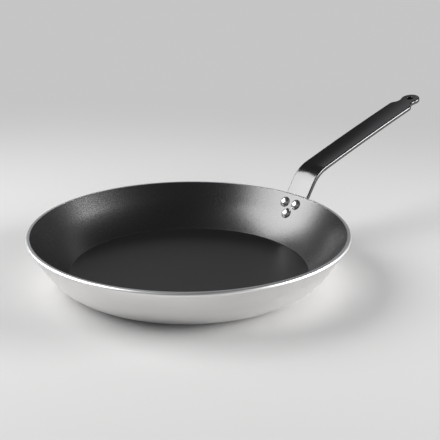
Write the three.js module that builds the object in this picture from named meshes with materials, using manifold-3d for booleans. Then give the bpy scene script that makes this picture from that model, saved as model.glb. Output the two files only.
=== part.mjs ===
// Riveted frying pan: a pressed aluminium body with a nonstick film inside and a bent
// strip handle held by three solid rivets. Millimetres, +Z up, handle along +X, and the
// origin is the centre of the flat underside.

import * as THREE from 'three';
import { mergeVertices } from 'three/addons/utils/BufferGeometryUtils.js';
import Module from 'manifold-3d';

const wasm = await Module();
wasm.setup();

// Pan body
const RIM_DIAMETER = 300;
const PAN_HEIGHT = 47.5;
const WALL_GAUGE = 4.5;
const FLOOR_GAUGE = 8;
const WALL_SLOPE = THREE.MathUtils.degToRad(56);
const CORNER_RADIUS = 46;
const RIM_ROUND = 2;
const RIM_BEVEL = 0.5;

// Nonstick film, drawn thicker than a sprayed coat so that it stays a solid
const FILM_GAUGE = 0.2;
const FILM_BOND = 0.02;

// Handle strip
const STRIP_WIDTH = 27.4;
const STRIP_GAUGE = 4.5;
const EDGE_ROUND = 2;
const LEG_ABOVE_RIM = 19.5;
const BEND_RADIUS = 30;
const GRIP_LENGTH = 173.6;
const GRIP_RISE_NEAR = THREE.MathUtils.degToRad(16.4);
const GRIP_RISE_FAR = THREE.MathUtils.degToRad(13.9);
const EYE_DIAMETER = 20.4;
const WAIST_WIDTH = 17.6;
const WAIST_RADIUS = 10;
const SHOULDER_RADIUS = 8;
const HANG_HOLE = 7;
const TAIL_BELOW_RIVET = 8.5;

// Rivets: two above, one below
const RIVET_SHANK = 5;
const RIVET_HEAD = 11;
const RIVET_DOME = 2.8;
const SET_HEAD = 10;
const SET_DOME = 2;
const RIVET_DROP = 8.5;
const RIVET_ROW = 11;
const RIVET_PITCH = 14.6;

// Fits
const SEAT_GAP = 0.15;
const HEAD_GAP = 0.4;
const SHANK_CLEARANCE = 0.3;

// Smoothness
const PAN_SEGMENTS = 60;
const CORNER_STEPS = 6;
const RIM_STEPS = 5;
const DOME_STEPS = 3;
const RIVET_SEGMENTS = 14;
const EDGE_STEPS = 2;
const FACE_STEPS = 4;
const EYE_STEPS = 8;
const HOLE_SEGMENTS = 28;
const BEND_STEPS = 6;

const rimRadius = RIM_DIAMETER / 2;
const wallRun = new THREE.Vector2(Math.cos(WALL_SLOPE), Math.sin(WALL_SLOPE));
const wallOut = new THREE.Vector2(Math.sin(WALL_SLOPE), -Math.cos(WALL_SLOPE));
const rimCentre = new THREE.Vector2(rimRadius - RIM_ROUND, PAN_HEIGHT - RIM_ROUND);
const wallTop = rimCentre.clone().addScaledVector(wallOut, RIM_ROUND);

// A point measured down the outer wall line from the rim and inward through the sheet.
function onWall(down, inward) {
  return wallTop.clone().addScaledVector(wallRun, -down).addScaledVector(wallOut, -inward);
}

// Where the line at a given depth inside the wall reaches a given height.
function wallAtHeight(inward, height) {
  const start = onWall(0, inward);
  return start.addScaledVector(wallRun, (height - start.y) / wallRun.y);
}

// The corner circle stands on the base plane and touches the wall's outer line.
const cornerLift = (CORNER_RADIUS - wallTop.y) * wallOut.y;
const baseRadius = wallTop.x - (CORNER_RADIUS + cornerLift) / wallOut.x;
const cornerCentre = new THREE.Vector2(baseRadius, CORNER_RADIUS);

function arcPoints(centre, radius, from, to, steps) {
  const points = [];
  for (let i = 0; i <= steps; i += 1) {
    const angle = from + (to - from) * i / steps;
    const spoke = new THREE.Vector2(Math.cos(angle), Math.sin(angle));
    points.push(centre.clone().addScaledVector(spoke, radius));
  }
  return points;
}

// The curve from the axis out along a level floor and up the corner, at a depth inside the wall.
// A floor thicker than the wall meets the corner in a crease.
function floorAndCorner(floor, inward) {
  const radius = CORNER_RADIUS - inward;
  const crease = Math.asin(Math.max(-1, (floor - CORNER_RADIUS) / radius));
  const curve = arcPoints(cornerCentre, radius, crease, WALL_SLOPE - Math.PI / 2, CORNER_STEPS);
  return [new THREE.Vector2(0, floor), ...curve];
}

// The inside of the pan, or a level of the film that lies on it.
function inside(level) {
  return floorAndCorner(FLOOR_GAUGE + level, WALL_GAUGE + level);
}

function panProfile() {
  const innerTop = wallAtHeight(WALL_GAUGE, PAN_HEIGHT);
  const bevelTop = new THREE.Vector2(innerTop.x + RIM_BEVEL, PAN_HEIGHT);
  const bevelFoot = wallAtHeight(WALL_GAUGE, PAN_HEIGHT - RIM_BEVEL);
  const rim = arcPoints(rimCentre, RIM_ROUND, WALL_SLOPE - Math.PI / 2, Math.PI / 2, RIM_STEPS);
  const outside = floorAndCorner(0, 0);
  return [...outside, ...rim, bevelTop, bevelFoot, ...inside(0).reverse()];
}

function filmProfile() {
  const over = FILM_BOND + FILM_GAUGE;
  const top = PAN_HEIGHT - RIM_BEVEL;
  const back = [...inside(FILM_BOND), wallAtHeight(WALL_GAUGE + FILM_BOND, top)];
  const front = [...inside(over), wallAtHeight(WALL_GAUGE + over, top)].reverse();
  return [...back, ...front];
}

// A lathe turned about +Z instead of +Y.
function turned(profile, segments) {
  const geometry = new THREE.LatheGeometry(profile, segments);
  geometry.rotateX(Math.PI / 2);
  return geometry;
}

function toSolid(geometry) {
  geometry.deleteAttribute('normal');
  geometry.deleteAttribute('uv');
  const merged = mergeVertices(geometry, 1e-4);
  const index = merged.index.array;
  const kept = [];
  for (let i = 0; i < index.length; i += 3) {
    const [a, b, c] = [index[i], index[i + 1], index[i + 2]];
    if (a !== b && b !== c && c !== a) {
      kept.push(a, b, c);
    }
  }
  const mesh = new wasm.Mesh({
    numProp: 3,
    vertProperties: new Float32Array(merged.attributes.position.array),
    triVerts: new Uint32Array(kept),
  });
  const solid = new wasm.Manifold(mesh);
  return solid;
}

function toGeometry(solid) {
  const mesh = solid.getMesh();
  const geometry = new THREE.BufferGeometry();
  geometry.setAttribute('position', new THREE.BufferAttribute(new Float32Array(mesh.vertProperties), 3));
  geometry.setIndex(new THREE.BufferAttribute(new Uint32Array(mesh.triVerts), 1));
  geometry.computeVertexNormals();
  return geometry;
}

// Rivet places: how far down the wall and how far to the side of the handle's middle.
const rivetPlaces = {
  rivet_upper_left: { down: RIVET_DROP, side: RIVET_PITCH / 2 },
  rivet_upper_right: { down: RIVET_DROP, side: -RIVET_PITCH / 2 },
  rivet_lower: { down: RIVET_DROP + RIVET_ROW, side: 0 },
};

// Stands a shape made along +Z on the wall, square to it, +Z pointing out of the pan.
function standOnWall(geometry, place) {
  const foot = onWall(place.down, 0);
  const azimuth = Math.asin(place.side / foot.x);
  geometry.rotateY(Math.PI - Math.acos(-wallOut.y));
  geometry.translate(foot.x, 0, foot.y);
  geometry.rotateZ(azimuth);
  return geometry;
}

const filmFace = WALL_GAUGE + FILM_BOND + FILM_GAUGE;
const headSeat = -(filmFace + HEAD_GAP);
const setSeat = SEAT_GAP + STRIP_GAUGE + HEAD_GAP;

// A low dome from the axis to the edge of the head, as points for the lathe.
function domePoints(diameter, height, seat, direction) {
  const half = diameter / 2;
  const radius = (half * half + height * height) / (2 * height);
  const reach = Math.asin(Math.min(1, half / radius));
  const points = [];
  for (let i = 0; i <= DOME_STEPS; i += 1) {
    const angle = reach * i / DOME_STEPS;
    const rise = height - radius * (1 - Math.cos(angle));
    points.push(new THREE.Vector2(radius * Math.sin(angle), seat + direction * rise));
  }
  return points;
}

function rivetGeometry(place) {
  const shank = RIVET_SHANK / 2;
  const head = domePoints(RIVET_HEAD, RIVET_DOME, headSeat, -1);
  const setHead = domePoints(SET_HEAD, SET_DOME, setSeat, 1).reverse();
  const neck = [new THREE.Vector2(shank, headSeat), new THREE.Vector2(shank, setSeat)];
  head[0].x = 0;
  setHead[setHead.length - 1].x = 0;
  return standOnWall(turned([...head, ...neck, ...setHead], RIVET_SEGMENTS), place);
}

function rivetHole(place) {
  const radius = RIVET_SHANK / 2 + SHANK_CLEARANCE;
  const length = 2 * (filmFace + STRIP_GAUGE + RIVET_DOME);
  const pin = new THREE.CylinderGeometry(radius, radius, length, RIVET_SEGMENTS);
  pin.rotateX(Math.PI / 2);
  return toSolid(standOnWall(pin, place));
}

function drillRivets(solid) {
  return Object.values(rivetPlaces).reduce((rest, place) => rest.subtract(rivetHole(place)), solid);
}

// The middle line of the strip: a straight leg on the wall, the bend, then the gently arched grip.
const legBelow = RIVET_DROP + RIVET_ROW + TAIL_BELOW_RIVET;
const legLength = legBelow + LEG_ABOVE_RIM;
const bendLength = BEND_RADIUS * (WALL_SLOPE - GRIP_RISE_NEAR);
const stripLength = legLength + bendLength + GRIP_LENGTH;
const legFoot = onWall(legBelow, -(SEAT_GAP + STRIP_GAUGE / 2));

function along(point, from, to, length) {
  const half = (to - from) / 2;
  const chord = Math.abs(half) < 1e-9 ? length : length * Math.sin(half) / half;
  const heading = (from + to) / 2;
  return new THREE.Vector2(point.x + chord * Math.cos(heading), point.y + chord * Math.sin(heading));
}

const bendFoot = along(legFoot, WALL_SLOPE, WALL_SLOPE, legLength);
const gripFoot = along(bendFoot, WALL_SLOPE, GRIP_RISE_NEAR, bendLength);

function middleLine(s) {
  if (s <= legLength) {
    return { point: along(legFoot, WALL_SLOPE, WALL_SLOPE, s), heading: WALL_SLOPE };
  }
  if (s <= legLength + bendLength) {
    const run = s - legLength;
    const heading = WALL_SLOPE - run / BEND_RADIUS;
    return { point: along(bendFoot, WALL_SLOPE, heading, run), heading };
  }
  const run = s - legLength - bendLength;
  const heading = GRIP_RISE_NEAR + (GRIP_RISE_FAR - GRIP_RISE_NEAR) * run / GRIP_LENGTH;
  return { point: along(gripFoot, GRIP_RISE_NEAR, heading, run), heading };
}

// The riveted leg is pressed hollow to fit the round wall; the hollow fades out before the bend.
function hollow(s, side) {
  const fade = 1 - THREE.MathUtils.smoothstep(s, legBelow + RIM_ROUND, legLength);
  const wallRadius = onWall(Math.max(0, legBelow - s), 0).x;
  return fade * side * side / 2 * Math.sin(WALL_SLOPE) / wallRadius;
}

// Bends a point of the flat strip into place: s along it, side across it, rise through it.
function bent(s, side, rise) {
  const { point, heading } = middleLine(s);
  const lift = rise + hollow(s, side);
  const x = point.x - lift * Math.sin(heading);
  const z = point.y + lift * Math.cos(heading);
  return new THREE.Vector3(x, side, z);
}

// One half of the flat strip's outline, from the middle of the tail to the tip of the eye.
const stripHalf = STRIP_WIDTH / 2;
const eyeRadius = EYE_DIAMETER / 2;
const eyeCentre = new THREE.Vector2(stripLength - eyeRadius, 0);
const waistSide = WAIST_WIDTH / 2 + WAIST_RADIUS;
const waistReach = Math.sqrt((eyeRadius + WAIST_RADIUS) ** 2 - waistSide ** 2);
const waistCentre = new THREE.Vector2(eyeCentre.x - waistReach, waistSide);
const shoulderSide = stripHalf - SHOULDER_RADIUS;
const shoulderSpan = (SHOULDER_RADIUS + WAIST_RADIUS) ** 2 - (waistSide - shoulderSide) ** 2;
const shoulderCentre = new THREE.Vector2(waistCentre.x - Math.sqrt(shoulderSpan), shoulderSide);

function arcEdge(centre, radius, from, to, steps, bulge) {
  return arcPoints(centre, radius, from, to, steps).map((point) => {
    const out = point.clone().sub(centre).divideScalar(radius * bulge);
    return { point, out };
  });
}

// Stations along a straight side, the first end left to the stretch before it.
function straightEdge(from, to, steps) {
  const edge = [];
  for (let i = 1; i <= steps; i += 1) {
    const point = new THREE.Vector2(from + (to - from) * i / steps, stripHalf);
    edge.push({ point, out: new THREE.Vector2(0, 1) });
  }
  return edge;
}

function stripOutline() {
  const tail = new THREE.Vector2(stripHalf, 0);
  const toWaist = waistCentre.clone().sub(shoulderCentre).angle();
  const fromWaist = waistCentre.clone().sub(eyeCentre).angle();
  const bendEnd = legLength + bendLength;
  return [
    ...arcEdge(tail, stripHalf, Math.PI, Math.PI / 2, EYE_STEPS, 1),
    ...straightEdge(stripHalf, legLength, BEND_STEPS),
    ...straightEdge(legLength, bendEnd, BEND_STEPS),
    ...straightEdge(bendEnd, shoulderCentre.x, BEND_STEPS),
    ...arcEdge(shoulderCentre, SHOULDER_RADIUS, Math.PI / 2, toWaist, 3, 1).slice(1),
    ...arcEdge(waistCentre, WAIST_RADIUS, toWaist + Math.PI, fromWaist + Math.PI, 5, -1).slice(1, -1),
    ...arcEdge(eyeCentre, eyeRadius, fromWaist, 0, EYE_STEPS, 1),
  ];
}

// The strip's edge from its upper face round to its lower face: inset from the outline, and rise.
function edgeSteps() {
  const steps = [];
  for (let i = 0; i <= EDGE_STEPS; i += 1) {
    const angle = Math.PI / 2 * (1 - i / EDGE_STEPS);
    const inset = EDGE_ROUND * (1 - Math.cos(angle));
    steps.push({ inset, rise: STRIP_GAUGE / 2 - EDGE_ROUND * (1 - Math.sin(angle)) });
  }
  return [...steps, ...steps.map(({ inset, rise }) => ({ inset, rise: -rise })).reverse()];
}

// One ring of points round the strip at a station of the outline.
function stripRing({ point, out }) {
  const sides = edgeSteps().map(({ inset, rise }) => {
    const edge = point.clone().addScaledVector(out, -inset);
    return { s: edge.x, side: Math.max(0, edge.y), rise };
  });
  const right = sides.map(({ s, side, rise }) => bent(s, -side, rise));
  const left = sides.map(({ s, side, rise }) => bent(s, side, rise)).reverse();
  const across = (from, direction) => {
    const face = [];
    for (let i = 1; i < FACE_STEPS; i += 1) {
      const side = direction * from.side * (1 - 2 * i / FACE_STEPS);
      face.push(bent(from.s, side, from.rise));
    }
    return face;
  };
  const under = across(sides[sides.length - 1], -1);
  const over = across(sides[0], 1);
  return [...right, ...under, ...left, ...over];
}

function stripGeometry() {
  const rings = stripOutline().map(stripRing);
  const count = rings[0].length;
  const positions = rings.flat().flatMap((point) => point.toArray());
  const index = [];
  for (let i = 0; i + 1 < rings.length; i += 1) {
    for (let j = 0; j < count; j += 1) {
      const a = i * count + j;
      const b = i * count + (j + 1) % count;
      index.push(a, b, a + count, b, b + count, a + count);
    }
  }
  const geometry = new THREE.BufferGeometry();
  geometry.setAttribute('position', new THREE.Float32BufferAttribute(positions, 3));
  geometry.setIndex(index);
  return geometry;
}

function hangHole() {
  const { point, heading } = middleLine(eyeCentre.x);
  const pin = new THREE.CylinderGeometry(HANG_HOLE / 2, HANG_HOLE / 2, STRIP_GAUGE * 3, HOLE_SEGMENTS);
  pin.rotateX(Math.PI / 2);
  pin.rotateY(-heading);
  pin.translate(point.x, 0, point.y);
  return toSolid(pin);
}

const aluminium = { color: 0xb9b9bb, roughness: 0.35, metalness: 1 };
const rivetMetal = { color: 0xc6c6c8, roughness: 0.3, metalness: 1 };
const filmCoat = { color: 0x2b2a2b, roughness: 0.45, metalness: 0 };
const blackCoat = { color: 0x141414, roughness: 0.3, metalness: 0 };

const pan = new THREE.Group();
pan.name = 'frying_pan';

function addPiece(name, geometry, finish) {
  const mesh = new THREE.Mesh(geometry, new THREE.MeshStandardMaterial(finish));
  mesh.name = name;
  pan.add(mesh);
}

addPiece('pan_body', toGeometry(drillRivets(toSolid(turned(panProfile(), PAN_SEGMENTS)))), aluminium);
addPiece('nonstick_film', toGeometry(drillRivets(toSolid(turned(filmProfile(), PAN_SEGMENTS)))), filmCoat);
addPiece('handle_strip', toGeometry(drillRivets(toSolid(stripGeometry())).subtract(hangHole())), blackCoat);
for (const [name, place] of Object.entries(rivetPlaces)) {
  addPiece(name, toGeometry(toSolid(rivetGeometry(place))), rivetMetal);
}

export default pan;
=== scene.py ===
# %% [markdown]
# # A riveted frying pan
# This lesson dresses the solid model of a frying pan: a pressed aluminium body, a dark
# nonstick film inside it, a bent strip handle and three rivets. The solid model is loaded
# It fixes every size, and the pan's rim and height are read from the box it fills.

# %% Load the solid model
import math
import bpy
import bmesh
from mathutils import Matrix, Vector


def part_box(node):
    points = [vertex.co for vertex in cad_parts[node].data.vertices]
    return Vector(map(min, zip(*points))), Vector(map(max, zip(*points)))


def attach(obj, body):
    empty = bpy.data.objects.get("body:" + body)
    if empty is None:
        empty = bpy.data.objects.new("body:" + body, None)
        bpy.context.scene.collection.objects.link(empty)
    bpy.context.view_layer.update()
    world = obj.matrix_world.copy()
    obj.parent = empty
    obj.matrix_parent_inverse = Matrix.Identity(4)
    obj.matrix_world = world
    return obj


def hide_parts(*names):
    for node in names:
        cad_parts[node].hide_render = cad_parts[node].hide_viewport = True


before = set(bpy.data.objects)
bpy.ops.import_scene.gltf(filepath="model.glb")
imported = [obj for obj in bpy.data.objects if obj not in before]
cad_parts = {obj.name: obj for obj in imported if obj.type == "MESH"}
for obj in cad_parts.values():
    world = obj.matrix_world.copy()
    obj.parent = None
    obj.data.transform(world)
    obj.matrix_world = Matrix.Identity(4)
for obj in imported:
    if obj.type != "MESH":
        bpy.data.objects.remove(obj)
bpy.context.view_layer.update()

MM = 0.001
print("solid nodes:", sorted(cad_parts))

# %% [markdown]
# ## Writing nodes as Python
# Node trees are easier to read as sums than as screenshots. `Socket` wraps one output of a
# node, and arithmetic on it adds Math nodes. `Tree.add` makes any other node: first its
# type, then its settings, then the values or links of its inputs. The same two classes
# serve geometry trees and material trees, because both know the Math node.

# %% Node helpers
class Socket:
    def __init__(self, tree, link):
        self.tree = tree
        self.link = link

    def math(self, operation, *values):
        return self.tree.add("ShaderNodeMath", {"operation": operation}, dict(enumerate(values)))

    def __add__(self, other):
        return self.math("ADD", self, other)

    def __radd__(self, other):
        return self.math("ADD", other, self)

    def __sub__(self, other):
        return self.math("SUBTRACT", self, other)

    def __rsub__(self, other):
        return self.math("SUBTRACT", other, self)

    def __mul__(self, other):
        return self.math("MULTIPLY", self, other)

    def __rmul__(self, other):
        return self.math("MULTIPLY", other, self)

    def __truediv__(self, other):
        return self.math("DIVIDE", self, other)

    def __rtruediv__(self, other):
        return self.math("DIVIDE", other, self)

    def __neg__(self):
        return self.math("MULTIPLY", self, -1.0)

    def __mod__(self, other):
        return self.math("MODULO", self, other)

    def call(self, operation):
        """A Math operation with one input, such as SINE or FLOOR."""
        return self.math(operation, self)

    def least(self, other):
        return self.math("MINIMUM", self, other)

    def smooth(self, low, high):
        """0 below low, 1 above high and a soft step between them."""
        settings = {"interpolation_type": "SMOOTHSTEP"}
        return self.tree.add("ShaderNodeMapRange", settings, {0: self, 1: low, 2: high})

    def also(self, name):
        """Another output of the same node."""
        return Socket(self.tree, self.link.node.outputs[name])


class Tree:
    def __init__(self, tree):
        self.tree = tree

    def add(self, kind, settings=None, inputs=None, output=0):
        node = self.tree.nodes.new(kind)
        for name, value in (settings or {}).items():
            if name == "items":
                self.set_items(node.index_switch_items, value)
            else:
                setattr(node, name, value)
        for name, value in (inputs or {}).items():
            self.feed(node.inputs[name], value)
        return Socket(self, node.outputs[output]) if len(node.outputs) else None

    def feed(self, socket, value):
        if isinstance(value, Socket):
            self.tree.links.new(value.link, socket)
        else:
            socket.default_value = value

    def set_items(self, items, count):
        while len(items) < count:
            items.new()

    def vector(self, x=0.0, y=0.0, z=0.0):
        return self.add("ShaderNodeCombineXYZ", None, {0: x, 1: y, 2: z})


print("node helpers ready")

# %% [markdown]
# ## Geometry trees with named inputs
# Each tree gets named inputs for its sizes. The modifier stores an input under the socket's
# identifier, so the sizes are set through that, before the object is first evaluated. The
# result is then frozen to a plain mesh with its doubles merged and its faces turned outward.

# %% Geometry tree helpers
SOCKET_TYPES = {
    float: "NodeSocketFloat",
    int: "NodeSocketInt",
    bpy.types.Material: "NodeSocketMaterial",
}
SHARP_EDGE = math.radians(40)
MERGE_DISTANCE = 1e-7


def geometry_tree(name, sizes):
    group = bpy.data.node_groups.new(name, "GeometryNodeTree")
    group.interface.new_socket("Mesh", in_out="OUTPUT", socket_type="NodeSocketGeometry")
    for label, value in sizes.items():
        group.interface.new_socket(label, in_out="INPUT", socket_type=SOCKET_TYPES[type(value)])
    tree = Tree(group)
    source = tree.add("NodeGroupInput")
    return tree, {label: source.also(label) for label in sizes}


def close_tree(tree, mesh, material):
    smooth = tree.add("GeometryNodeSetShadeSmooth", None, {"Geometry": mesh})
    whole = tree.add("GeometryNodeRealizeInstances", None, {"Geometry": smooth})
    painted = tree.add("GeometryNodeSetMaterial", None, {"Geometry": whole, "Material": material})
    tree.add("NodeGroupOutput", None, {"Mesh": painted})


def tidy_mesh(mesh):
    shape = bmesh.new()
    shape.from_mesh(mesh)
    bmesh.ops.remove_doubles(shape, verts=shape.verts, dist=MERGE_DISTANCE)
    bmesh.ops.recalc_face_normals(shape, faces=shape.faces)
    shape.to_mesh(mesh)
    shape.free()
    mesh.shade_smooth()
    mesh.set_sharp_from_angle(angle=SHARP_EDGE)


def grow(name, group, sizes):
    """Runs a geometry tree and returns its result as an object with a plain mesh."""
    piece = bpy.data.objects.new(name, bpy.data.meshes.new(name))
    bpy.context.scene.collection.objects.link(piece)
    modifier = piece.modifiers.new("shape", "NODES")
    modifier.node_group = group
    for item in group.interface.items_tree:
        if item.in_out == "INPUT":
            modifier[item.identifier] = sizes[item.name]
    seen = piece.evaluated_get(bpy.context.evaluated_depsgraph_get())
    mesh = bpy.data.meshes.new_from_object(seen)
    piece.modifiers.clear()
    piece.data = mesh
    tidy_mesh(mesh)
    print(name, "has", len(mesh.polygons), "faces")
    return piece


print("geometry tree helpers ready")

# %% [markdown]
# ## A profile and a lathe
# A pan is turned: one profile, swept round an axis. The profile is a row of corner points,
# each rounded by its own radius with Fillet Curve. Long straight runs are cut into short
# ones so that shading stays even beside the corners. The lathe is a grid whose columns are
# laid at equal angles, with the seam and the poles merged shut. Curve to Mesh could sweep
# the profile too, but it would leave a pinhole at the axis.

# %% Profile and lathe
MOST_CUTS = 60.0
SEAM_DISTANCE = 1e-6


def filleted(tree, corners, radii, steps, run):
    """A profile through the corners, each with its own radius, cut into lengths of about run."""
    count = len(corners)
    index = tree.add("GeometryNodeInputIndex")
    places = {i + 1: tree.vector(x=r, z=z) for i, (r, z) in enumerate(corners)}
    settings = {"data_type": "VECTOR", "items": count}
    place = tree.add("GeometryNodeIndexSwitch", settings, {0: index, **places})
    rounds = {i + 1: radius for i, radius in enumerate(radii)}
    settings = {"data_type": "FLOAT", "items": count}
    radius = tree.add("GeometryNodeIndexSwitch", settings, {0: index, **rounds})
    points = tree.add("GeometryNodePoints", None, {"Count": count, "Position": place})
    line = tree.add("GeometryNodePointsToCurves", None, {"Points": points})
    line = tree.add("GeometryNodeCurveSplineType", {"spline_type": "POLY"}, {"Curve": line})
    inputs = {"Curve": line, "Count": steps, "Radius": radius, "Limit Radius": True}
    line = tree.add("GeometryNodeFilletCurve", {"mode": "POLY"}, inputs)
    here = tree.add("GeometryNodeInputPosition")
    following = {"Value": here, "Index": index + 1.0}
    there = tree.add("GeometryNodeFieldAtIndex", {"data_type": "FLOAT_VECTOR"}, following)
    ends = {0: here, 1: there}
    length = tree.add("ShaderNodeVectorMath", {"operation": "DISTANCE"}, ends, output="Value")
    cuts = (length / run).least(MOST_CUTS).call("FLOOR")
    return tree.add("GeometryNodeSubdivideCurve", None, {"Curve": line, "Cuts": cuts})


def lathe(tree, profile, turns):
    """The profile swept round the z axis, as a closed mesh."""
    size = tree.add("GeometryNodeAttributeDomainSize", {"component": "CURVE"}, {"Geometry": profile})
    inputs = {"Vertices X": turns + 1.0, "Vertices Y": size}
    grid = tree.add("GeometryNodeMeshGrid", None, inputs)
    index = tree.add("GeometryNodeInputIndex")
    row = index % size
    column = ((index - row) / size + 0.5).call("FLOOR")
    here = tree.add("GeometryNodeInputPosition")
    settings = {"data_type": "FLOAT_VECTOR", "domain": "POINT"}
    sample = {"Geometry": profile, "Value": here, "Index": row}
    point = tree.add("GeometryNodeSampleIndex", settings, sample)
    radius = tree.add("ShaderNodeSeparateXYZ", None, {0: point})
    angle = column * (2 * math.pi) / turns
    east = radius * angle.call("COSINE")
    north = radius * angle.call("SINE")
    place = tree.vector(east, north, radius.also("Z"))
    turned = tree.add("GeometryNodeSetPosition", None, {"Geometry": grid, "Position": place})
    return tree.add("GeometryNodeMergeByDistance", None, {"Geometry": turned, "Distance": SEAM_DISTANCE})


print("profile and lathe ready")

# %% [markdown]
# ## Materials: bare aluminium
# The body is spun from sheet and left bare, so fine lines run round it. They are a noise
# that changes quickly along the profile and slowly round the pan: the two coordinates are
# the distance along the wall, which is radius plus height, and the direction from the axis.
# The lines change the colour, the roughness and a very small bump. A picture of brushed metal
# could be wrapped round the pan instead, but it would show a seam. The rim is ground, so its
# colour is even and its shine a little softer.

# %% Bare aluminium
DULL_METAL = (0.78, 0.775, 0.77, 1)
BRIGHT_METAL = (0.90, 0.895, 0.89, 1)
GROUND_METAL = (0.88, 0.88, 0.88, 1)
GRINDING_FROM = 44.6 * MM
GRINDING_TO = 46.6 * MM
NOT_ZERO = 1e-9


def new_material(name):
    material = bpy.data.materials.new(name)
    material.use_nodes = True
    material.node_tree.nodes.clear()
    tree = Tree(material.node_tree)
    where = tree.add("ShaderNodeTexCoord", output="Object")
    return material, tree, where


def finish_surface(tree, fixed, varied):
    surface = tree.add("ShaderNodeBsdfPrincipled", None, {**fixed, **varied})
    tree.add("ShaderNodeOutputMaterial", None, {"Surface": surface})


def noise(tree, where, scale, detail=2.0, roughness=0.5):
    inputs = {"Vector": where, "Scale": scale, "Detail": detail, "Roughness": roughness}
    return tree.add("ShaderNodeTexNoise", {"noise_dimensions": "3D"}, inputs)


def mix_colour(tree, mask, first, second):
    inputs = {0: mask, 6: first, 7: second}
    return tree.add("ShaderNodeMix", {"data_type": "RGBA"}, inputs, output=2)


def bump(tree, height, strength, distance):
    inputs = {"Strength": strength, "Distance": distance, "Height": height}
    return tree.add("ShaderNodeBump", None, inputs)


def around_axis(tree, where, turn_scale, line_scale):
    """Coordinates for lines that run round the pan, and the height."""
    part = tree.add("ShaderNodeSeparateXYZ", None, {0: where})
    x = part
    y = part.also("Y")
    radius = (x * x + y * y + NOT_ZERO).call("SQRT")
    height = part.also("Z")
    run = (radius + height) * line_scale
    return tree.vector(x / radius * turn_scale, y / radius * turn_scale, run), height


def make_bare_aluminium():
    material, tree, where = new_material("bare_aluminium")
    ring, height = around_axis(tree, where, turn_scale=0.9, line_scale=900.0)
    broad, _ = around_axis(tree, where, turn_scale=2.5, line_scale=60.0)
    lines = noise(tree, ring, scale=1.0, detail=3.0, roughness=0.6)
    streaks = noise(tree, broad, scale=1.0)
    shade = mix_colour(tree, lines * 0.6 + streaks * 0.4, DULL_METAL, BRIGHT_METAL)
    rim = height.smooth(GRINDING_FROM, GRINDING_TO)
    colour = mix_colour(tree, rim, shade, GROUND_METAL)
    rough = (0.30 + lines * 0.10) * (1.0 + rim * 0.2)
    normal = bump(tree, lines, strength=0.12, distance=0.02 * MM)
    varied = {"Base Color": colour, "Roughness": rough, "Normal": normal}
    finish_surface(tree, {"Metallic": 1.0}, varied)
    return material


bare_aluminium = make_bare_aluminium()
print("material:", bare_aluminium.name)

# %% [markdown]
# ## Materials: nonstick coat
# The film is a sprayed fluoropolymer: nearly black, with a soft sheen and a fine grain like
# an eggshell. A fine noise is the grain of the spray droplets. It moves the roughness and a
# small bump, which costs far less than real bumps in the mesh. A slower noise is the unevenness
# of the coat, and with the grain it keeps the colour from being flat. The floor was turned
# before spraying, so it is duller than the wall, and height tells the two apart.

# %% Nonstick coat
DARK_COAT = (0.0045, 0.0044, 0.0046, 1)
PALE_COAT = (0.0070, 0.0068, 0.0071, 1)
FLOOR_BELOW = 8.3 * MM
WALL_ABOVE = 9.3 * MM


def make_nonstick_coat():
    material, tree, where = new_material("nonstick_coat")
    grain = noise(tree, where, scale=1000.0)
    cloud = noise(tree, where, scale=60.0, detail=3.0)
    colour = mix_colour(tree, cloud * 0.5 + grain * 0.5, DARK_COAT, PALE_COAT)
    height = tree.add("ShaderNodeSeparateXYZ", None, {0: where}, output="Z")
    wall = height.smooth(FLOOR_BELOW, WALL_ABOVE)
    rough = 0.31 - wall * 0.06 + grain * 0.06
    normal = bump(tree, grain, strength=0.4, distance=0.12 * MM)
    varied = {"Base Color": colour, "Roughness": rough, "Normal": normal}
    finish_surface(tree, {"IOR": 1.6, "Specular IOR Level": 1.0}, varied)
    return material


nonstick_coat = make_nonstick_coat()
print("material:", nonstick_coat.name)

# %% [markdown]
# ## Materials: black epoxy and rivet metal
# The handle is strip steel dipped in black epoxy, smooth with a faint orange peel. The wall of
# its hanging hole is dull, and shade is painted into it: a darker colour and almost no shine make
# the hole look dark. The mesh marks those points with an attribute, and the material mixes that
# finish in. A second material could do that too, but here each piece keeps to one. The rivet
# heads are bare and polished by the tool that sets them, with small scratches left.

# %% Black epoxy and rivet metal
DARK_EPOXY = (0.006, 0.006, 0.0065, 1)
PALE_EPOXY = (0.010, 0.010, 0.0105, 1)
# Painted shade: the darker colour of the hanging hole's wall.
HOLE_WALL_SHADE = (0.004, 0.004, 0.004, 1)
DULL_RIVET = (0.72, 0.72, 0.72, 1)
BRIGHT_RIVET = (0.86, 0.86, 0.86, 1)


def make_black_epoxy():
    material, tree, where = new_material("black_epoxy")
    peel = noise(tree, where, scale=450.0)
    cloud = noise(tree, where, scale=40.0, detail=3.0)
    colour = mix_colour(tree, cloud, DARK_EPOXY, PALE_EPOXY)
    rough = 0.14 + cloud * 0.04
    normal = bump(tree, peel, strength=0.15, distance=0.06 * MM)
    varied = {"Base Color": colour, "Roughness": rough, "Normal": normal}
    coat = {**varied, "IOR": 1.6, "Specular IOR Level": 1.0}
    glossy = tree.add("ShaderNodeBsdfPrincipled", None, coat)
    # The hole wall is dull, with shade painted in: a darker colour and almost no shine.
    shaded_hole_wall = {"Base Color": HOLE_WALL_SHADE, "Roughness": 0.8, "Specular IOR Level": 0.1}
    dull_shaded_wall = tree.add("ShaderNodeBsdfPrincipled", None, shaded_hole_wall)
    punched = tree.add("ShaderNodeAttribute", {"attribute_name": "punched"}, output="Fac")
    surface = tree.add("ShaderNodeMixShader", None, {0: punched, 1: glossy, 2: dull_shaded_wall})
    tree.add("ShaderNodeOutputMaterial", None, {"Surface": surface})
    return material


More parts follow.
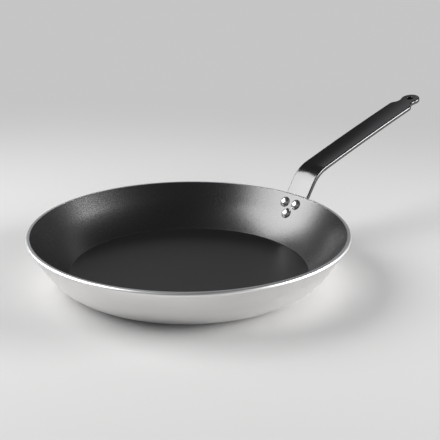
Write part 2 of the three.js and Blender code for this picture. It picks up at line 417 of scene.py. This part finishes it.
def make_rivet_metal():
    material, tree, where = new_material("rivet_metal")
    scratch = noise(tree, where, scale=900.0, detail=4.0, roughness=0.7)
    colour = mix_colour(tree, scratch, DULL_RIVET, BRIGHT_RIVET)
    rough = 0.20 + scratch * 0.12
    normal = bump(tree, scratch, strength=0.10, distance=0.03 * MM)
    varied = {"Base Color": colour, "Roughness": rough, "Normal": normal}
    finish_surface(tree, {"Metallic": 1.0}, varied)
    return material


black_epoxy = make_black_epoxy()
rivet_metal = make_rivet_metal()
print("materials:", black_epoxy.name, rivet_metal.name)

# %% [markdown]
# ## The pan body and its film
# A disc of aluminium is pressed to a flat base, a wide corner and a straight flared wall, and
# then sprayed inside. The rim and the height come from the solid model. The outer wall's line
# is carried down to the base plane, because everything on the wall is measured from it.

# %% Sizes of the pan
low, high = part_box("pan_body")
RIM_RADIUS = (high[1] - low[1]) / 2
PAN_HEIGHT = high[2]
WALL_SLOPE = math.radians(56)
WALL_GAUGE = 4.5 * MM
FLOOR_GAUGE = 8 * MM
CORNER_RADIUS = 46 * MM
CREASE_RISE = math.radians(34.5)
CREASE_ROUND = 1.2 * MM
RIM_ROUND = 2 * MM
FILM_GAUGE = 0.2 * MM
FILM_BOND = 0.02 * MM

wall_top_radius = RIM_RADIUS - RIM_ROUND + RIM_ROUND * math.sin(WALL_SLOPE)
wall_top_height = PAN_HEIGHT - RIM_ROUND - RIM_ROUND * math.cos(WALL_SLOPE)
WALL_FOOT = wall_top_radius - wall_top_height / math.tan(WALL_SLOPE)
print("wall line meets the base plane at", round(WALL_FOOT / MM, 2), "mm")

# %% [markdown]
# ## A tree for turned sheets
# Body and film are the same kind of thing: a sheet with an outer and an inner skin. Both skins
# are measured from one wall line, so one tree makes both. A skin is given by its depth inside
# that line, the height of its floor, and its rise, the slope at which its corner leaves the
# floor. Outside, the base runs smoothly into the corner, so that rise is nought. Inside, the
# thick floor meets the corner in a crease, which is softly rounded.

# %% Tree for a turned sheet
FILLET_SHARE = 0.97
SHEET_SIZES = {
    "Wall Foot": WALL_FOOT,
    "Wall Slope": WALL_SLOPE,
    "Corner": CORNER_RADIUS,
    "Crease": CREASE_ROUND,
    "Top": PAN_HEIGHT,
    "Outer Depth": 0.0,
    "Outer Floor": 0.0,
    "Outer Rise": 0.0,
    "Inner Depth": WALL_GAUGE,
    "Inner Floor": FLOOR_GAUGE,
    "Inner Rise": CREASE_RISE,
    "Outer Edge": RIM_ROUND,
    "Inner Edge": 0.0,
    "Turns": 240,
    "Finish": bare_aluminium,
}


def turned_sheet_tree():
    tree, size = geometry_tree("turned sheet", SHEET_SIZES)
    slope = size["Wall Slope"]
    corner = size["Corner"]
    reach = size["Wall Foot"] - corner * (slope / 2.0).call("TANGENT")

    def skin(depth, floor, rise):
        """Axis, crease, tangent crossing and top of one skin, and its corner radius.

        The floor cuts the corner's circle at the crease. A line rises from there to the wall,
        and the fillet where they cross is nearly as large as that line allows.
        """
        dip = ((corner - floor) / (corner - depth)).least(1.0).call("ARCSINE")
        crease = reach + (corner - depth) * dip.call("COSINE")
        foot = size["Wall Foot"] - depth / slope.call("SINE")
        gap = foot + floor / slope.call("TANGENT") - crease
        run = gap / (rise.call("COSINE") - rise.call("SINE") / slope.call("TANGENT"))
        crossing = (crease + run * rise.call("COSINE"), floor + run * rise.call("SINE"))
        top = (foot + size["Top"] / slope.call("TANGENT"), size["Top"])
        radius = run / ((slope - rise) / 2.0).call("TANGENT")
        return [(0.0, floor), (crease, floor), crossing, top], radius * FILLET_SHARE

    outside, outer_corner = skin(size["Outer Depth"], size["Outer Floor"], size["Outer Rise"])
    inside, inner_corner = skin(size["Inner Depth"], size["Inner Floor"], size["Inner Rise"])
    corners = outside + inside[::-1]
    outer_radii = [0.0, 0.0, outer_corner, size["Outer Edge"]]
    inner_radii = [size["Inner Edge"], inner_corner, size["Crease"], 0.0]
    profile = filleted(tree, corners, outer_radii + inner_radii, steps=16, run=3 * MM)
    close_tree(tree, lathe(tree, profile, size["Turns"]), size["Finish"])
    return tree.tree


turned_sheet = turned_sheet_tree()
print("tree:", turned_sheet.name, "with", len(turned_sheet.nodes), "nodes")

# %% [markdown]
# ## Body and film from one tree
# The tree is run twice. The film lies on the inside of the body with a hair's breadth between
# them, which stands for the bond, and it ends at the top of the rim.

# %% Body and film
pan_body = grow("pan_body_visual", turned_sheet, SHEET_SIZES)

film_face = FILM_BOND + FILM_GAUGE
FILM_SIZES = {
    **SHEET_SIZES,
    "Top": PAN_HEIGHT - FILM_BOND,
    "Outer Depth": WALL_GAUGE + FILM_BOND,
    "Outer Floor": FLOOR_GAUGE + FILM_BOND,
    "Outer Rise": CREASE_RISE,
    "Inner Depth": WALL_GAUGE + film_face,
    "Inner Floor": FLOOR_GAUGE + film_face,
    "Outer Edge": 0.0,
    "Inner Edge": FILM_GAUGE / 2,
    "Finish": nonstick_coat,
}
film = grow("nonstick_film_visual", turned_sheet, FILM_SIZES)

# %% [markdown]
# ## The rivets
# Each rivet is one solid: a low dome inside the pan, a shank through the wall and the strip,
# and a smaller dome set on the outside. It is turned by the same lathe and put in three places
# on the wall, two above and one below. Three rivets could be set by hand, but the wall is round
# and sloping, so each would need its own tilt. Here the points get their places from their index,
# and each copy is turned so that its axis stands square to the wall.

# %% Tree for the rivets
HEAD_EDGE = 0.2 * MM
DOME_SHARE = 0.9
STRIP_GAUGE = 4.5 * MM
SEAT_GAP = 0.15 * MM
HEAD_GAP = 0.3 * MM
RIVET_SIZES = {
    "Head": 11 * MM,
    "Dome": 2.8 * MM,
    "Set Head": 10 * MM,
    "Set Dome": 2.0 * MM,
    "Shank": 5 * MM,
    "Inside Seat": -(WALL_GAUGE + film_face + HEAD_GAP),
    "Outside Seat": SEAT_GAP + STRIP_GAUGE + HEAD_GAP,
    "Drop": 8.5 * MM,
    "Row": 11 * MM,
    "Pitch": 14.6 * MM,
    "Wall Foot": WALL_FOOT,
    "Wall Slope": WALL_SLOPE,
    "Top": wall_top_height,
    "Turns": 40,
    "Finish": rivet_metal,
}


def dome_corner(head, dome):
    """Radius of a low dome, and where its top and edge tangents cross."""
    half = head / 2.0
    radius = (half * half + dome * dome) / (dome * 2.0)
    reach = (half / radius).call("ARCSINE")
    return radius, radius * (reach / 2.0).call("TANGENT")


def rivets_tree():
    tree, size = geometry_tree("rivets on the wall", RIVET_SIZES)
    inside = size["Inside Seat"]
    outside = size["Outside Seat"]
    radius, cross = dome_corner(size["Head"], size["Dome"])
    set_radius, set_cross = dome_corner(size["Set Head"], size["Set Dome"])
    crown = inside - size["Dome"]
    set_crown = outside + size["Set Dome"]
    corners = [
        (0.0, crown),
        (cross, crown),
        (size["Head"] / 2.0, inside),
        (size["Shank"] / 2.0, inside),
        (size["Shank"] / 2.0, outside),
        (size["Set Head"] / 2.0, outside),
        (set_cross, set_crown),
        (0.0, set_crown),
    ]
    inner_radii = [0.0, radius * DOME_SHARE, HEAD_EDGE, 0.0]
    outer_radii = [0.0, HEAD_EDGE, set_radius * DOME_SHARE, 0.0]
    profile = filleted(tree, corners, inner_radii + outer_radii, steps=8, run=0.8 * MM)
    rivet = lathe(tree, profile, size["Turns"])

    index = tree.add("GeometryNodeInputIndex")
    row = (index / 2.0).call("FLOOR")
    side = (0.5 - index) * size["Pitch"] * (1.0 - row)
    down = size["Drop"] + row * size["Row"]
    sine = size["Wall Slope"].call("SINE")
    cosine = size["Wall Slope"].call("COSINE")
    height = size["Top"] - down * sine
    reach = size["Wall Foot"] + height * cosine / sine
    azimuth = (side / reach).call("ARCSINE")
    east = azimuth.call("COSINE")
    north = azimuth.call("SINE")
    place = tree.vector(reach * east, reach * north, height)
    points = tree.add("GeometryNodePoints", None, {"Count": 3, "Position": place})
    square = tree.vector(sine * east, sine * north, -cosine)
    turn = tree.add("FunctionNodeAlignRotationToVector", {"axis": "Z"}, {"Vector": square})
    inputs = {"Points": points, "Instance": rivet, "Rotation": turn}
    copies = tree.add("GeometryNodeInstanceOnPoints", None, inputs)
    close_tree(tree, copies, size["Finish"])
    return tree.tree


rivets = grow("rivets_visual", rivets_tree(), RIVET_SIZES)

# %% [markdown]
# ## The handle: outline of the flat blank
# The real handle is punched from flat strip and then bent, and the same order is used here.
# Sweeping a section along a curve would give the bend at once, but not the eye and its waist.
# The blank is drawn flat: how far along the strip, how far to the side, and which way the edge
# faces. It has a round tail, straight sides, and a round eye behind a narrow waist.

# %% Sizes and outline of the blank
STRIP_HALF = 13.7 * MM
EDGE_ROUND = 1.3 * MM
LEG_ABOVE_RIM = 17.0 * MM
BEND_RADIUS = 34 * MM
GRIP_LENGTH = 172.5 * MM
GRIP_RISE_NEAR = math.radians(16.4)
GRIP_RISE_FAR = math.radians(13.9)
EYE_RADIUS = 10.2 * MM
WAIST_HALF = 8.8 * MM
WAIST_RADIUS = 10 * MM
SHOULDER_RADIUS = 8 * MM
HANG_HOLE_RADIUS = 3.5 * MM
TAIL_BELOW_RIVET = 8.5 * MM

leg_below = RIVET_SIZES["Drop"] + RIVET_SIZES["Row"] + TAIL_BELOW_RIVET
leg_length = leg_below + LEG_ABOVE_RIM
bend_length = BEND_RADIUS * (WALL_SLOPE - GRIP_RISE_NEAR)
strip_length = leg_length + bend_length + GRIP_LENGTH

eye = Vector((strip_length - EYE_RADIUS, 0))
waist_side = WAIST_HALF + WAIST_RADIUS
waist = Vector((eye.x - math.sqrt((EYE_RADIUS + WAIST_RADIUS) ** 2 - waist_side ** 2), waist_side))
shoulder_side = STRIP_HALF - SHOULDER_RADIUS
shoulder_run = math.sqrt((SHOULDER_RADIUS + WAIST_RADIUS) ** 2 - (waist_side - shoulder_side) ** 2)
shoulder = Vector((waist.x - shoulder_run, shoulder_side))


def arc(centre, radius, start, end, steps, facing=1):
    """Points of an arc with the way the edge faces, which is inward where facing is -1."""
    edge = []
    for i in range(steps + 1):
        angle = start + (end - start) * i / steps
        spoke = Vector((math.cos(angle), math.sin(angle)))
        edge.append((centre + spoke * radius, spoke * facing))
    return edge


def half_outline():
    to_waist = math.atan2(waist.y - shoulder.y, waist.x - shoulder.x)
    from_waist = math.atan2(waist.y - eye.y, waist.x - eye.x)
    tail = arc(Vector((STRIP_HALF, 0)), STRIP_HALF, math.pi, math.pi / 2, steps=24)
    turn_in = arc(shoulder, SHOULDER_RADIUS, math.pi / 2, to_waist, steps=8)
    start = to_waist + math.pi
    end = from_waist + math.pi
    narrow = arc(waist, WAIST_RADIUS, start, end, steps=12, facing=-1)
    ring = arc(eye, EYE_RADIUS, from_waist, 0, steps=32)
    return tail + turn_in + narrow[1:-1] + ring


def full_outline():
    left = half_outline()
    right = [(Vector((p.x, -p.y)), Vector((n.x, -n.y))) for p, n in reversed(left[1:-1])]
    return left + right


print("strip length", round(strip_length / MM, 1), "mm,", len(full_outline()), "points round it")

# %% [markdown]
# ## The handle: the bend
# `bent` carries a point of the flat blank to its place: up the straight leg, round the bend and
# along the gently arched grip. The strip is pressed hollow across its width, so that its leg lies
# on the round wall. The hollow is deepest at the bend and fades along the grip towards the eye. It
# is under a millimetre deep, but on a glossy coat it parts the light from the dark.

# %% Bending rule
HOLLOW_RISE = 6
HOLLOW_PEAK = 1.3
HOLLOW_FALL = 0.8
NEARLY_STRAIGHT = 1e-9


def along(point, start, end, length):
    """The end of a stretch whose heading turns evenly from start to end."""
    half = (end - start) / 2
    chord = length if abs(half) < NEARLY_STRAIGHT else length * math.sin(half) / half
    heading = (start + end) / 2
    return point + Vector((math.cos(heading), math.sin(heading))) * chord


wall_up = Vector((math.cos(WALL_SLOPE), math.sin(WALL_SLOPE)))
wall_out = Vector((math.sin(WALL_SLOPE), -math.cos(WALL_SLOPE)))
wall_top = Vector((wall_top_radius, wall_top_height))
leg_foot = wall_top - wall_up * leg_below + wall_out * (SEAT_GAP + STRIP_GAUGE / 2)
bend_foot = along(leg_foot, WALL_SLOPE, WALL_SLOPE, leg_length)
grip_foot = along(bend_foot, WALL_SLOPE, GRIP_RISE_NEAR, bend_length)


def middle_line(s):
    """Place and heading of the strip's middle at the length s from the tail."""
    if s <= leg_length:
        return along(leg_foot, WALL_SLOPE, WALL_SLOPE, s), WALL_SLOPE
    if s <= leg_length + bend_length:
        heading = WALL_SLOPE - (s - leg_length) / BEND_RADIUS
        return along(bend_foot, WALL_SLOPE, heading, s - leg_length), heading
    run = s - leg_length - bend_length
    heading = GRIP_RISE_NEAR + (GRIP_RISE_FAR - GRIP_RISE_NEAR) * run / GRIP_LENGTH
    return along(grip_foot, GRIP_RISE_NEAR, heading, run), heading


def pressed_hollow(s, side):
    """How far the edges of the strip stand above its middle."""
    radius = wall_top_radius - max(0, leg_below - s) * wall_up.x
    run = max(0, s - leg_length) / (strip_length - leg_length)
    depth = min(1 + HOLLOW_RISE * run, HOLLOW_PEAK - HOLLOW_FALL * run)
    return side * side / 2 * math.sin(WALL_SLOPE) / radius * depth


def bent(flat):
    point, heading = middle_line(flat.x)
    lift = flat.z + pressed_hollow(flat.x, flat.y)
    return Vector((point.x - lift * math.sin(heading), flat.y, point.y + lift * math.cos(heading)))


print("tip of the handle at", [round(v / MM, 1) for v in bent(Vector((strip_length, 0, 0)))])

# %% [markdown]
# ## The handle: mesh
# Rings of points follow the outline and every hole from the upper face round the edge to the
# lower face, so all edges are truly rounded. The two faces are then filled between the rings.
# Cutting the holes with Booleans would leave their edges sharp.

# %% Rims of the blank and its holes
FACE_MARGIN = 0.5 * MM
HANG_HOLE_ROUND = 0.5 * MM
RIVET_HOLE_ROUND = 0.2 * MM
SHANK_CLEARANCE = 0.3 * MM


def edge_section(radius, steps):
    """Inset from the outline and rise above the middle, from the upper face to the lower."""
    top = STRIP_GAUGE / 2
    section = [(radius + FACE_MARGIN, top)]
    for i in range(steps + 1):
        angle = math.pi / 2 * (1 - i / steps)
        section.append((radius * (1 - math.cos(angle)), top - radius * (1 - math.sin(angle))))
    return section + [(inset, -rise) for inset, rise in reversed(section)]


def add_rim(shape, outline, section):
    """Adds the rounded edge along an outline and returns its uppermost and lowest rings."""
    rings = []
    for inset, rise in section:
        places = [p - n * inset for p, n in outline]
        rings.append([shape.verts.new((p.x, p.y, rise)) for p in places])
    count = len(outline)
    for upper, lower in zip(rings, rings[1:]):
        for i in range(count):
            j = (i + 1) % count
            shape.faces.new((upper[i], upper[j], lower[j], lower[i]))
    return rings[0], rings[-1]


def hole_outline(centre, radius, steps):
    return arc(centre, radius, 0, 2 * math.pi, steps, facing=-1)[:-1]


def loop_edges(shape, ring):
    pairs = zip(ring, ring[1:] + ring[:1])
    return [shape.edges.get(pair) for pair in pairs]


def punch_blank(shape):
    """The flat blank with its hanging hole and its three rivet holes."""
    hang_hole = hole_outline(eye, HANG_HOLE_RADIUS, steps=48)
    rims = [add_rim(shape, full_outline(), edge_section(EDGE_ROUND, steps=5))]
    rims.append(add_rim(shape, hang_hole, edge_section(HANG_HOLE_ROUND, steps=4)))
    radius = RIVET_SIZES["Shank"] / 2 + SHANK_CLEARANCE
    upper = leg_below - RIVET_SIZES["Drop"]
    lower = upper - RIVET_SIZES["Row"]
    half_pitch = RIVET_SIZES["Pitch"] / 2
    for s, side in ((upper, half_pitch), (upper, -half_pitch), (lower, 0)):
        rivet_hole = hole_outline(Vector((s, side)), radius, steps=24)
        rims.append(add_rim(shape, rivet_hole, edge_section(RIVET_HOLE_ROUND, steps=1)))
    for face in (0, 1):
        edges = [edge for rim in rims for edge in loop_edges(shape, rim[face])]
        bmesh.ops.triangle_fill(shape, use_beauty=True, edges=edges, normal=(0, 0, 1))


blank = bmesh.new()
punch_blank(blank)
print("flat blank has", len(blank.faces), "faces")

# %% [markdown]
# ## The handle: slices and bend
# A bend needs points to bend at, so the blank is sliced across into short lengths, shortest
# where the bend is, and along into strips for the hollow. While it is still flat, the points on
# the wall of the hanging hole are marked for the dark, dull finish that paints shade into the hole.
# Then every point is carried to its place. A Simple Deform modifier bends too, but in one even
# curve, and this strip has a straight leg, a tight bend and a gentle arch.

# %% Slices and bend
FIRST_SLICE = 4 * MM
LEG_SLICE = 2.5 * MM
BEND_SLICE = 0.8 * MM
GRIP_SLICE = 4 * MM
LENGTHWISE_MM = range(-9, 10, 3)
MARK_REACH = 0.01 * MM


def slice_blank(shape, place, direction):
    geometry = shape.verts[:] + shape.edges[:] + shape.faces[:]
    where = {"plane_co": place, "plane_no": direction}
    bmesh.ops.bisect_plane(shape, geom=geometry, dist=MERGE_DISTANCE, **where)


def steps_between(start, end, step):
    count = max(1, round((end - start) / step))
    return [start + (end - start) * i / count for i in range(count)]


def slice_all(shape):
    bend_end = leg_length + bend_length
    stations = steps_between(FIRST_SLICE, leg_length, LEG_SLICE)
    stations += steps_between(leg_length, bend_end, BEND_SLICE)
    stations += steps_between(bend_end, strip_length, GRIP_SLICE)
    for s in stations:
        slice_blank(shape, (s, 0, 0), (1, 0, 0))
    for side in LENGTHWISE_MM:
        slice_blank(shape, (0, side * MM, 0), (0, 1, 0))


def bend_all(shape):
    # Marks the wall of the hanging hole, where the epoxy has painted shade.
    punched = shape.verts.layers.float.new("punched")
    for vert in shape.verts:
        from_eye = (vert.co.xy - eye).length
        vert[punched] = float(from_eye < HANG_HOLE_RADIUS + MARK_REACH)
        vert.co = bent(vert.co)


def make_handle(shape):
    slice_all(shape)
    bend_all(shape)
    mesh = bpy.data.meshes.new("handle_strip_visual")
    shape.to_mesh(mesh)
    shape.free()
    tidy_mesh(mesh)
    mesh.materials.append(black_epoxy)
    piece = bpy.data.objects.new("handle_strip_visual", mesh)
    bpy.context.scene.collection.objects.link(piece)
    return piece


handle = make_handle(blank)
print("handle has", len(handle.data.polygons), "faces")

# %% [markdown]
# ## Joining the dressed pieces to the solid model
# Each dressed piece says which solid nodes it stands for, which body it moves with and which
# finish of the record it takes. The pan is rigid, so there is one body.

# %% Pieces and nodes
STANDS_FOR = {
    pan_body: (["pan_body"], "bare_aluminium"),
    film: (["nonstick_film"], "nonstick_coat"),
    handle: (["handle_strip"], "black_epoxy"),
    rivets: (["rivet_upper_left", "rivet_upper_right", "rivet_lower"], "rivet_metal"),
}
for piece, (nodes, finish) in STANDS_FOR.items():
    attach(piece, "root")
    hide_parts(*nodes)
    print(piece.name, "stands for", nodes)

# %% [markdown]
# ## Camera
# The photograph looks down on the pan from a little over one metre, with the handle pointing
# back and to the right. The handle lies along +X here, so the camera stands turned about the
# axis by the handle's angle. Place, tilt and lens are those of the photograph.

# %% Camera
SENSOR_WIDTH = 36
LENS = 94.09
CAMERA_PLACE = Vector((0.02888, -1.00168, 0.41245))
LOOKS_DOWN = math.radians(19.53)
HANDLE_TURN = math.radians(44.85)
TO_OBJECT = Matrix.Rotation(-HANDLE_TURN, 3, "Z")


def add_camera():
    data = bpy.data.cameras.new("camera")
    data.sensor_width = SENSOR_WIDTH
    data.lens = LENS
    camera = bpy.data.objects.new("camera", data)
    bpy.context.scene.collection.objects.link(camera)
    camera.location = TO_OBJECT @ CAMERA_PLACE
    camera.rotation_euler = (math.pi / 2 - LOOKS_DOWN, 0, -HANDLE_TURN)
    bpy.context.scene.camera = camera
    return camera


camera = add_camera()
print("camera at", [round(v, 3) for v in camera.location])

# %% [markdown]
# ## Lamps
# A large softbox stands to the left of the pan and a smaller, lower one to the right. Dark smooth
# coats show only what they mirror: the leg of the handle and the wall round the rivets mirror the
# left one, and the far left of the wall mirrors the right one. Their spread is limited, as by a
# grid on the softbox, so that less light falls on the floor beside them.

# %% Lamps
SOFTBOX_SPREAD = math.radians(140)


def softbox(name, azimuth, elevation, distance, size, watts):
    """A lamp in the camera's frame: azimuth 0 is straight ahead and 90 degrees is to the right."""
    data = bpy.data.lights.new(name, "AREA")
    data.shape = "RECTANGLE"
    data.size, data.size_y = size
    data.energy = watts
    data.spread = SOFTBOX_SPREAD
    lamp = bpy.data.objects.new(name, data)
    bpy.context.scene.collection.objects.link(lamp)
    across = math.radians(azimuth)
    up = math.radians(elevation)
    toward = Vector((math.sin(across) * math.cos(up), math.cos(across) * math.cos(up), math.sin(up)))
    direction = TO_OBJECT @ toward
    lamp.location = direction * distance
    lamp.rotation_euler = direction.to_track_quat("Z", "Y").to_euler()


softbox("left softbox", azimuth=-84, elevation=38.5, distance=1.4, size=(1.24, 1.09), watts=14.6)
softbox("right softbox", azimuth=94, elevation=16.5, distance=1.5, size=(0.94, 0.80), watts=17.5)
print("lamps:", [light.name for light in bpy.data.lights])

# %% [markdown]
# ## Floor
# The floor is plain pale paper. Close to the pan the lamps light it, so it takes the shadow.
# Farther away it turns into an even grey backdrop, as if the sheet were lit by itself: there the
# camera, and whatever mirrors the floor, sees a fixed brightness. Light Path tells these rays from
# the others, so the backdrop adds no light to the pan.

# %% Floor
PAPER = (0.72, 0.715, 0.71, 1)
PAPER_HALF_WIDTH = 6.0
BACKDROP_BRIGHTNESS = 0.56
BACKDROP_FROM = 0.30
BACKDROP_TO = 0.80


def make_floor():
    material, tree, where = new_material("pale_floor")
    paper = {"Base Color": PAPER, "Roughness": 0.7, "Specular IOR Level": 0.1}
    lit = tree.add("ShaderNodeBsdfPrincipled", None, paper)
    glow = {"Color": (1, 1, 1, 1), "Strength": BACKDROP_BRIGHTNESS}
    backdrop = tree.add("ShaderNodeEmission", None, glow)
    ray = tree.add("ShaderNodeLightPath", output="Is Camera Ray")
    seen = ray + ray.also("Is Glossy Ray") + ray.also("Is Transmission Ray")
    length = {"operation": "LENGTH"}
    distance = tree.add("ShaderNodeVectorMath", length, {0: where}, output="Value")
    far = seen.least(1.0) * distance.smooth(BACKDROP_FROM, BACKDROP_TO)
    surface = tree.add("ShaderNodeMixShader", None, {0: far, 1: lit, 2: backdrop})
    tree.add("ShaderNodeOutputMaterial", None, {"Surface": surface})
    mesh = bpy.data.meshes.new("floor")
    half = PAPER_HALF_WIDTH
    corners = [(-half, -half, 0), (half, -half, 0), (half, half, 0), (-half, half, 0)]
    mesh.from_pydata(corners, [], [(0, 1, 2, 3)])
    mesh.materials.append(material)
    floor = bpy.data.objects.new("floor", mesh)
    bpy.context.scene.collection.objects.link(floor)
    return floor


make_floor()
print("floor", 2 * PAPER_HALF_WIDTH, "m wide")

# %% [markdown]
# ## World
# The world is what the coats mirror where there is no lamp. It has three levels: a dim wall, a
# brighter band above it and a dark ceiling. The flat grip mirrors the step from the band to the
# ceiling, and its slight hollow draws that step out along its length. A photographed sky would
# put its own shapes on the coats. The Standard view shows the light as it is worked out.

# %% World
WORLD_TINT = (0.95, 0.96, 1.0, 1)
WORLD_LEVELS = {"wall": 0.12, "band": 0.42, "ceiling": 0.05}
BAND_FROM = (0.35, 0.52)
CEILING_FROM = (0.55, 0.615)


def make_world():
    world = bpy.data.worlds.new("studio")
    world.use_nodes = True
    world.node_tree.nodes.clear()
    tree = Tree(world.node_tree)
    toward = tree.add("ShaderNodeTexCoord", output="Generated")
    height = tree.add("ShaderNodeSeparateXYZ", None, {0: toward}, output="Z")
    level = {}
    for name, strength in WORLD_LEVELS.items():
        inputs = {"Color": WORLD_TINT, "Strength": strength}
        level[name] = tree.add("ShaderNodeBackground", None, inputs)
    inputs = {0: height.smooth(*BAND_FROM), 1: level["wall"], 2: level["band"]}
    sides = tree.add("ShaderNodeMixShader", None, inputs)
    inputs = {0: height.smooth(*CEILING_FROM), 1: sides, 2: level["ceiling"]}
    shown = tree.add("ShaderNodeMixShader", None, inputs)
    tree.add("ShaderNodeOutputWorld", None, {"Surface": shown})
    bpy.context.scene.world = world


make_world()
bpy.context.scene.view_settings.view_transform = "Standard"
print("world levels:", WORLD_LEVELS)
